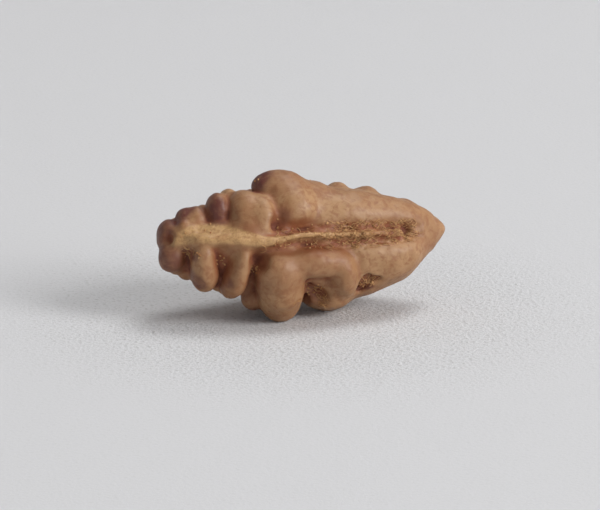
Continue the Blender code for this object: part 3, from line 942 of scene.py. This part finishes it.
@dataclass
class FineStone:
    """The stone itself: a close skin settled on the form, with its traits and relief."""

    node: Piece
    voxels: Pair = (0.15, 0.094)
    quick_voxels: Pair = (0.19, 0.14)
    settle_steps: tuple[int, int] = (7, 3)
    crease_width: float = 0.2
    valley_width: float = 0.55
    far_probe: float = 1.3
    spot_edge: Pair = (0.55, 1.2)
    band_edge: Pair = (0.75, 1.15)
    crest_edge: Pair = (0.15, 0.4)
    crest_end: Pair = (2.5, 5.0)
    shelf_edge: Pair = (0.75, 1.1)
    shelf_end: Pair = (2.0, 4.5)
    crease_dish: Pair = (0.005, 0.085)
    valley_dish: Pair = (0.0, 0.28)
    fibre_fade: Pair = (0.0, 3.2)
    fibre_least: float = 0.08
    far_side_fibre: float = 0.7
    merge_distance: float = 1e-7
    tint_seed: int = 5

    def start(self) -> Piece:
        """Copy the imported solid, with its loose faces merged, into the form's own millimetres."""
        mesh = bmesh.new()
        mesh.from_mesh(self.node.data)
        bmesh.ops.remove_doubles(mesh, verts=mesh.verts[:], dist=self.merge_distance)
        data = bpy.data.meshes.new("stone_skin")
        mesh.to_mesh(data)
        mesh.free()
        data.materials.clear()
        write_points(data, to_form(read_points(data)))
        return link(bpy.data.objects.new("stone_skin", data))

    def wrap(self, piece: Piece, voxel: float, steps: int) -> None:
        """Wrap the piece in small even faces and move them onto the form, above the paper."""
        remesh = piece.modifiers.new("even", "REMESH")
        remesh.mode = "VOXEL"
        remesh.voxel_size = voxel
        ease = piece.modifiers.new("ease", "SMOOTH")
        ease.factor = 0.5
        ease.iterations = 2
        make_plain(piece)
        points = FORM.settle(read_points(piece.data), steps)
        points[:, 2] = np.maximum(points[:, 2], -AXIS_HEIGHT)
        write_points(piece.data, points)

    def spots(self, points: Array, spots: tuple[Spot, ...]) -> Array:
        """How much of a kind of matter lies at each point, from its spots."""
        reach, turn = around_axis(points)
        amount = np.zeros(len(points))
        for spot in spots:
            away = turn_between(turn, spot.turn)
            gap = np.hypot(points[:, 0] - spot.along, reach * np.radians(away)) / spot.radius
            amount = np.maximum(amount, spot.amount * (1.0 - fade(gap, *self.spot_edge)))
        return amount

    def seam_marks(self, points: Array) -> tuple[Array, Array, Array]:
        """Find what the seams mark on the skin.

        Args:
            points: The skin's vertices.

        Returns:
            How much each vertex lies in a furrow, on a keel's pale crest, and on the pale shelf.
        """
        along = points[:, 0]
        band = np.zeros(len(points))
        crest = np.zeros(len(points))
        for seam in SEAMS:
            side, reach = FORM.seam_side(points, seam)
            half = smooth_through(FURROW_HALF, along)
            deep = smooth_through(seam.furrow, along)
            here = fade(deep, 0.05, 0.35) * (along < seam.furrow[-1][0])
            band = np.maximum(band, here * (1.0 - fade(np.abs(side) / half, *self.band_edge)))
            up = fade(reach - smooth_through(seam.crest, along), -0.5, -0.1)
            pale = 1.0 - fade(along, *self.crest_end)
            crest = np.maximum(crest, up * pale * (1.0 - fade(np.abs(side), *self.crest_edge)))
        side = FORM.seam_side(points, FRONT_SEAM)[0]
        across = side / smooth_through(SHELF_WIDTH, along)
        shelf = fade(side, -0.32, -0.1) * (1.0 - fade(across, *self.shelf_edge))
        return band, crest, shelf * fade(along, -9.3, -8.6) * (1.0 - fade(along, *self.shelf_end))

    def traits(self, piece: Piece) -> None:
        """Give every vertex the numbers that its colour and relief are made from."""
        mesh = piece.data
        points, normals = read_points(mesh), read_normals(mesh)
        blur = Blur(mesh)
        # Narrow and wide dish: masks for painted shade in creases and valleys; creases are rougher too
        close = blur.dish(points, normals, self.crease_width)
        wide = blur.dish(points, normals, self.valley_width)
        # Openness off the skin, like ambient occlusion: a mask for painted shade
        far = FORM.distance(points + normals * self.far_probe) / self.far_probe
        nearest = FORM.lobes(points, np.full(len(points), FAR_OFF))
        tints = np.random.default_rng(self.tint_seed).uniform(0, 1, len(ALL_LOBES))
        band, crest, shelf = self.seam_marks(points)
        turn = around_axis(points)[1]
        front = np.abs(turn - FRONT_TURN) < FRONT_SPREAD
        least = self.fibre_least
        share = fade(points[:, 0], *self.fibre_fade) * (1.0 - least) + least
        share = np.where(front, share, self.far_side_fibre)
        lift = fade(points[:, 2] + AXIS_HEIGHT, *CLEAR_HEIGHT)
        fibres = np.maximum(band * share, self.spots(points, FIBRE_SPOTS))
        crumbs = np.maximum(self.spots(points, CRUMB_SPOTS), np.maximum(0.5 * band, 0.12 * shelf))
        numbers = {
            Trait.CREASE: fade(close, *self.crease_dish),
            # Masks for painted shade in valleys and closed-in places
            Trait.VALLEY: fade(wide, *self.valley_dish),
            Trait.FAR: blur.spread(np.clip(far, 0.0, 1.0), self.crease_width),
            Trait.TINT: tints[nearest],
            Trait.BAND: band,
            Trait.CREST: crest,
            Trait.SHELF: shelf,
            # Partly real stains, partly painted shade on shaded sides and in pits
            Trait.STAIN_AND_SHADE: self.spots(points, STAIN_AND_SHADE_SPOTS),
            Trait.RUST: self.spots(points, RUST_SPOTS),
            Trait.FIBRE: fibres * lift,
            Trait.CRUMB: crumbs * lift,
        }
        for trait, values in numbers.items():
            write_trait(mesh, trait, values)

    def build(self) -> Piece:
        """Build the stone's skin in place."""
        piece = self.start()
        for voxel, steps in zip(self.voxels, self.settle_steps):
            self.wrap(piece, voxel, steps)
        self.traits(piece)
        Relief().carve(piece, StoneFinish().material())
        piece.data.shade_smooth()
        return piece

    def place(self, piece: Piece) -> Piece:
        """Put the finished skin in the row's metres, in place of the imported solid."""
        settle_in_row(piece)
        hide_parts(STONE_NODE)
        return piece


@dataclass(frozen=True)
class FibreFinish:
    """Dry plant fibre and crumbs: dull straw, some of it browned."""

    name: str = "dry_fibre"
    pale: Colour = shade(200, 158, 110)
    tan: Colour = shade(176, 130, 86)
    brown: Colour = shade(132, 78, 50)

    def material(self) -> bpy.types.Material:
        """Build the material."""
        material, paint, shader = new_material(self.name)
        tint = paint.trait(Trait.PIECE)
        place = paint.place_mm()
        dirt = paint.noise(place, 3.0, 3.0, 0.6)
        colour = paint.mix(paint.span(tint, 0.35, 0.95), self.tan, self.pale)
        brown = paint.math("ADD", paint.span(tint, 0.2, 0.0, 0.0, 0.8), paint.span(dirt, 0.55, 0.8, 0.0, 0.4),
                           clamp=True)
        paint.feed(shader.inputs["Base Color"], paint.mix(brown, colour, self.brown))
        paint.feed(shader.inputs["Normal"], paint.bump(paint.noise(place, 22.0, 2.0), 0.4, 0.02))
        shader.inputs["Roughness"].default_value = 0.8
        shader.inputs["Specular IOR Level"].default_value = 0.3
        return material


@dataclass(frozen=True)
class Loose:
    """Small things of a few kinds, scattered on a bed that the stone's vertices carry, in mm."""

    name: str
    bed: Trait
    per_mm2: float
    length: Pair
    yaw: float
    tilt: float
    seed: int

    def kinds(self, recipe: Recipe) -> list[Socket]:
        """Shapes to choose from, a unit long."""
        raise NotImplementedError

    def build(self, stone: Piece) -> Piece:
        """Scatter the things.

        Args:
            stone: The stone's skin, in mm.

        Returns:
            The piece, in mm.
        """
        recipe = Recipe(self.name)
        seed = recipe.size("Seed", self.seed)
        kinds = self.kinds(recipe)
        surface = recipe.start.outputs["Geometry"]
        spot = recipe.add("GeometryNodeInputPosition").outputs[0]
        patch = recipe.span(recipe.noise(spot, 1.0 / PATCH_SIZE, 2.0), 0.40, 0.60, 0.08, 1.0)
        full = recipe.times(recipe.size("Per mm2", self.per_mm2), patch)
        density = recipe.times(recipe.trait(self.bed), full)
        points = recipe.add("GeometryNodeDistributePointsOnFaces",
                            {"Mesh": surface, "Density": density, "Seed": seed},
                            distribute_method="RANDOM")
        aligned = recipe.add("FunctionNodeAlignRotationToVector",
                             {"Rotation": points.outputs["Rotation"], "Vector": (1.0, 0.0, 0.0)},
                             axis="X", pivot_axis="Z").outputs[0]
        turn = recipe.vector(recipe.draw(-math.pi, math.pi, seed, 1),
                             recipe.draw(-self.tilt, self.tilt, seed, 2),
                             recipe.draw(-self.yaw, self.yaw, seed, 3))
        own = recipe.add("FunctionNodeEulerToRotation", {0: turn}).outputs[0]
        rotation = recipe.add("FunctionNodeRotateRotation", {0: aligned, 1: own}, rotation_space="LOCAL")
        shortest, longest = recipe.size("Shortest", self.length[0]), recipe.size("Longest", self.length[1])
        long = recipe.draw(shortest, longest, seed, 4)
        wide = recipe.times(long, recipe.draw(*SLIMNESS, seed, 5))
        shapes = recipe.add("GeometryNodeGeometryToInstance")
        for kind in kinds:
            recipe.tree.links.new(kind, shapes.inputs[0])
        placed = recipe.add("GeometryNodeInstanceOnPoints", {
            "Points": points.outputs["Points"], "Instance": shapes.outputs[0], "Pick Instance": True,
            "Instance Index": recipe.draw(0.0, len(kinds) - 0.01, seed, 6),
            "Rotation": rotation.outputs[0], "Scale": recipe.vector(long, wide, wide)})
        tinted = recipe.add("GeometryNodeStoreNamedAttribute", {
            "Geometry": placed.outputs[0], "Name": Trait.PIECE.value,
            "Value": recipe.draw(0.0, 1.0, seed, 7)}, data_type="FLOAT", domain="INSTANCE")
        piece = link(bpy.data.objects.new(self.name, stone.data.copy()))
        piece.data.materials.clear()
        recipe.cook(piece, tinted.outputs[0], FibreFinish(self.name + "_matter").material())
        return piece


@dataclass(frozen=True)
class Fibres(Loose):
    """Matted fibres that lie along the seams and in the pits."""

    name: str = "seam_fibres"
    bed: Trait = Trait.FIBRE
    per_mm2: float = 120.0
    length: Pair = (0.22, 0.66)
    yaw: float = 0.8
    tilt: float = 0.3
    seed: int = 3
    thickness: float = 0.045
    bend: float = 0.3
    rings: int = 6

    def kinds(self, recipe: Recipe) -> list[Socket]:
        """Strands that bend one way, the other way and hardly at all."""
        thick = recipe.size("Thickness", self.thickness)
        return [self.strand(recipe, bend, thick) for bend in (self.bend, -self.bend, self.bend * 0.3)]

    def strand(self, recipe: Recipe, bend: float, thick: Socket) -> Socket:
        """One bent strand, thin at its ends."""
        line = recipe.add("GeometryNodeCurveQuadraticBezier",
                          {"Resolution": self.rings, "Start": (-0.5, 0.0, 0.0), "Middle": (0.1, bend, 0.22),
                           "End": (0.5, -bend * 0.4, 0.05)}).outputs[0]
        along = recipe.add("GeometryNodeSplineParameter").outputs["Factor"]
        arch = recipe.times(recipe.math("SUBTRACT", 1.0, along), along)
        radius = recipe.times(recipe.math("ADD", recipe.times(arch, 2.6), 0.4), thick)
        ring = recipe.add("GeometryNodeCurvePrimitiveCircle", {"Resolution": 4, "Radius": 1.0}).outputs[0]
        return recipe.add("GeometryNodeCurveToMesh", {"Curve": line, "Profile Curve": ring, "Scale": radius,
                                                      "Fill Caps": True}).outputs[0]


@dataclass(frozen=True)
class Crumbs(Loose):
    """Small broken grains."""

    name: str = "seam_crumbs"
    bed: Trait = Trait.CRUMB
    per_mm2: float = 22.0
    length: Pair = (0.07, 0.20)
    yaw: float = math.pi
    tilt: float = 1.2
    seed: int = 8
    rough: float = 0.7
    shifts: Triple = (0.0, 3.0, 7.0)

    def kinds(self, recipe: Recipe) -> list[Socket]:
        """Grains broken each in its own way."""
        rough = recipe.size("Roughness", self.rough)
        return [self.grain(recipe, shift, rough) for shift in self.shifts]

    def grain(self, recipe: Recipe, shift: float, rough: Socket) -> Socket:
        """One broken grain."""
        ball = recipe.add("GeometryNodeMeshIcoSphere", {"Radius": 0.5, "Subdivisions": 2}).outputs[0]
        place = recipe.add("GeometryNodeInputPosition").outputs[0]
        lump = recipe.noise(recipe.stretch(place, (1.0, 1.0, 1.0), (shift, shift * 2.0, 0.0)), 2.6, 1.0)
        push = recipe.times(recipe.math("SUBTRACT", lump, 0.5), rough)
        offset = recipe.scaled(place, recipe.times(push, 3.0))
        return recipe.add("GeometryNodeSetPosition", {"Geometry": ball, "Offset": offset}).outputs[0]


def direction(azimuth: float, elevation: float) -> Vector:
    """Unit vector from the stone towards a place, by degrees round from the front and up."""
    az, el = math.radians(azimuth), math.radians(elevation)
    return Vector((math.sin(az) * math.cos(el), -math.cos(az) * math.cos(el), math.sin(el)))


@dataclass(frozen=True)
class PhotoCamera:
    """A camera that sees the stone as the photograph does."""

    azimuth: float = -15.0
    elevation: float = 15.0
    pixels_per_mm: float = 14.45
    frame: tuple[int, int] = (600, 510)
    axis_pixel: Pair = (298.2, 243.7)
    lens: float = 260.0
    sensor: float = 36.0

    def place(self) -> Piece:
        """Make the camera and make it the scene's own."""
        toward = direction(self.azimuth, self.elevation)
        az = math.radians(self.azimuth)
        right = Vector((math.cos(az), math.sin(az), 0.0))
        up = toward.cross(right)
        width, height = self.frame
        scale = self.pixels_per_mm / MM
        axis = Vector(to_row(np.zeros(3)))
        aim = axis + right * (width / 2 - self.axis_pixel[0]) / scale
        aim -= up * (height / 2 - self.axis_pixel[1]) / scale
        distance = width / scale * self.lens / self.sensor
        matrix = Matrix((right, up, toward)).transposed().to_4x4()
        matrix.translation = aim + toward * distance
        data = bpy.data.cameras.new("camera")
        data.lens = self.lens
        data.sensor_width = self.sensor
        data.clip_start = 0.01
        camera = link(bpy.data.objects.new("camera", data))
        camera.matrix_world = matrix
        bpy.context.scene.camera = camera
        return camera


@dataclass(frozen=True)
class SoftLight:
    """One broad lamp, aimed at the stone."""

    name: str
    azimuth: float
    elevation: float
    distance: float
    width: float
    watts: float
    colour: Triple

    def place(self) -> Piece:
        """Hang the lamp."""
        toward = direction(self.azimuth, self.elevation)
        data = bpy.data.lights.new(self.name, "AREA")
        data.shape = "DISK"
        data.size = self.width
        data.energy = self.watts
        data.color = self.colour
        lamp = link(bpy.data.objects.new(self.name, data))
        lamp.location = toward * self.distance
        lamp.rotation_euler = toward.to_track_quat("Z", "Y").to_euler()
        return lamp


LAMPS = (
    SoftLight("overhead", 110, 70, 1.2, 0.6, 5.5, (0.99, 1.0, 1.0)),
    SoftLight("window", 48, 29, 0.95, 0.42, 5.2, (0.99, 1.0, 1.0)),
    SoftLight("low_fill", 44, 13, 0.85, 0.30, 1.6, (1.0, 0.99, 0.97)),
)


@dataclass(frozen=True)
class Studio:
    """Pale paper that curves up behind, soft light and a pale room."""

    wall: float = 1.2
    middle: float = 0.12
    rise_at: float = 0.9
    bend: float = 0.35
    steps: int = 12
    sides: int = 64
    room: Triple = (1.0, 0.955, 0.90)
    room_strength: float = 0.29

    def profile(self) -> list[Pair]:
        """Radius and height of the sheet, from near its middle out to its rim."""
        turns = [math.pi / 2 * step / self.steps for step in range(1, self.steps + 1)]
        bent = [(self.rise_at + self.bend * math.sin(turn), self.bend * (1 - math.cos(turn)))
                for turn in turns]
        rim = (self.rise_at + self.bend, self.bend + self.wall)
        return [(self.middle, 0.0), (self.rise_at, 0.0), *bent, rim]

    def paper(self) -> Piece:
        """Round sheet that lies flat and curves up at its rim."""
        places = [(0.0, 0.0, 0.0)]
        faces = []
        for ring, (radius, height) in enumerate(self.profile()):
            for side in range(self.sides):
                angle = 2 * math.pi * side / self.sides
                places.append((radius * math.cos(angle), radius * math.sin(angle), height))
                here = 1 + ring * self.sides + side
                beside = 1 + ring * self.sides + (side + 1) % self.sides
                if ring == 0:
                    faces.append((0, here, beside))
                else:
                    faces.append((here - self.sides, here, beside, beside - self.sides))
        mesh = bpy.data.meshes.new("paper")
        mesh.from_pydata(places, [], faces)
        mesh.shade_smooth()
        mesh.materials.append(PaperFinish().material())
        sheet = link(bpy.data.objects.new("paper", mesh))
        return sheet

    def light(self) -> None:
        """Set the pale room and the lamps."""
        scene = bpy.context.scene
        scene.view_settings.view_transform = "Standard"
        scene.view_settings.look = "None"
        world = bpy.data.worlds.new("pale_room")
        world.use_nodes = True
        background = world.node_tree.nodes["Background"]
        background.inputs["Color"].default_value = (*self.room, 1.0)
        background.inputs["Strength"].default_value = self.room_strength
        scene.world = world
        for lamp in LAMPS:
            lamp.place()


def main() -> None:
    """Build the stone, the paper, the light and the camera."""
    logging.basicConfig(level=logging.INFO, format="%(name)s: %(message)s")
    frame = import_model()
    maker = FineStone(frame["nodes"][STONE_NODE])
    stone = maker.build()
    loose = [Fibres().build(stone), Crumbs().build(stone)]
    for piece in loose:
        settle_in_row(piece)
    maker.place(stone)
    for piece in [stone, *loose]:
        log.info("%s: %d faces", piece.name, len(piece.data.polygons))
    studio = Studio()
    studio.paper()
    studio.light()
    PhotoCamera().place()


if __name__ == "__main__":
    main()
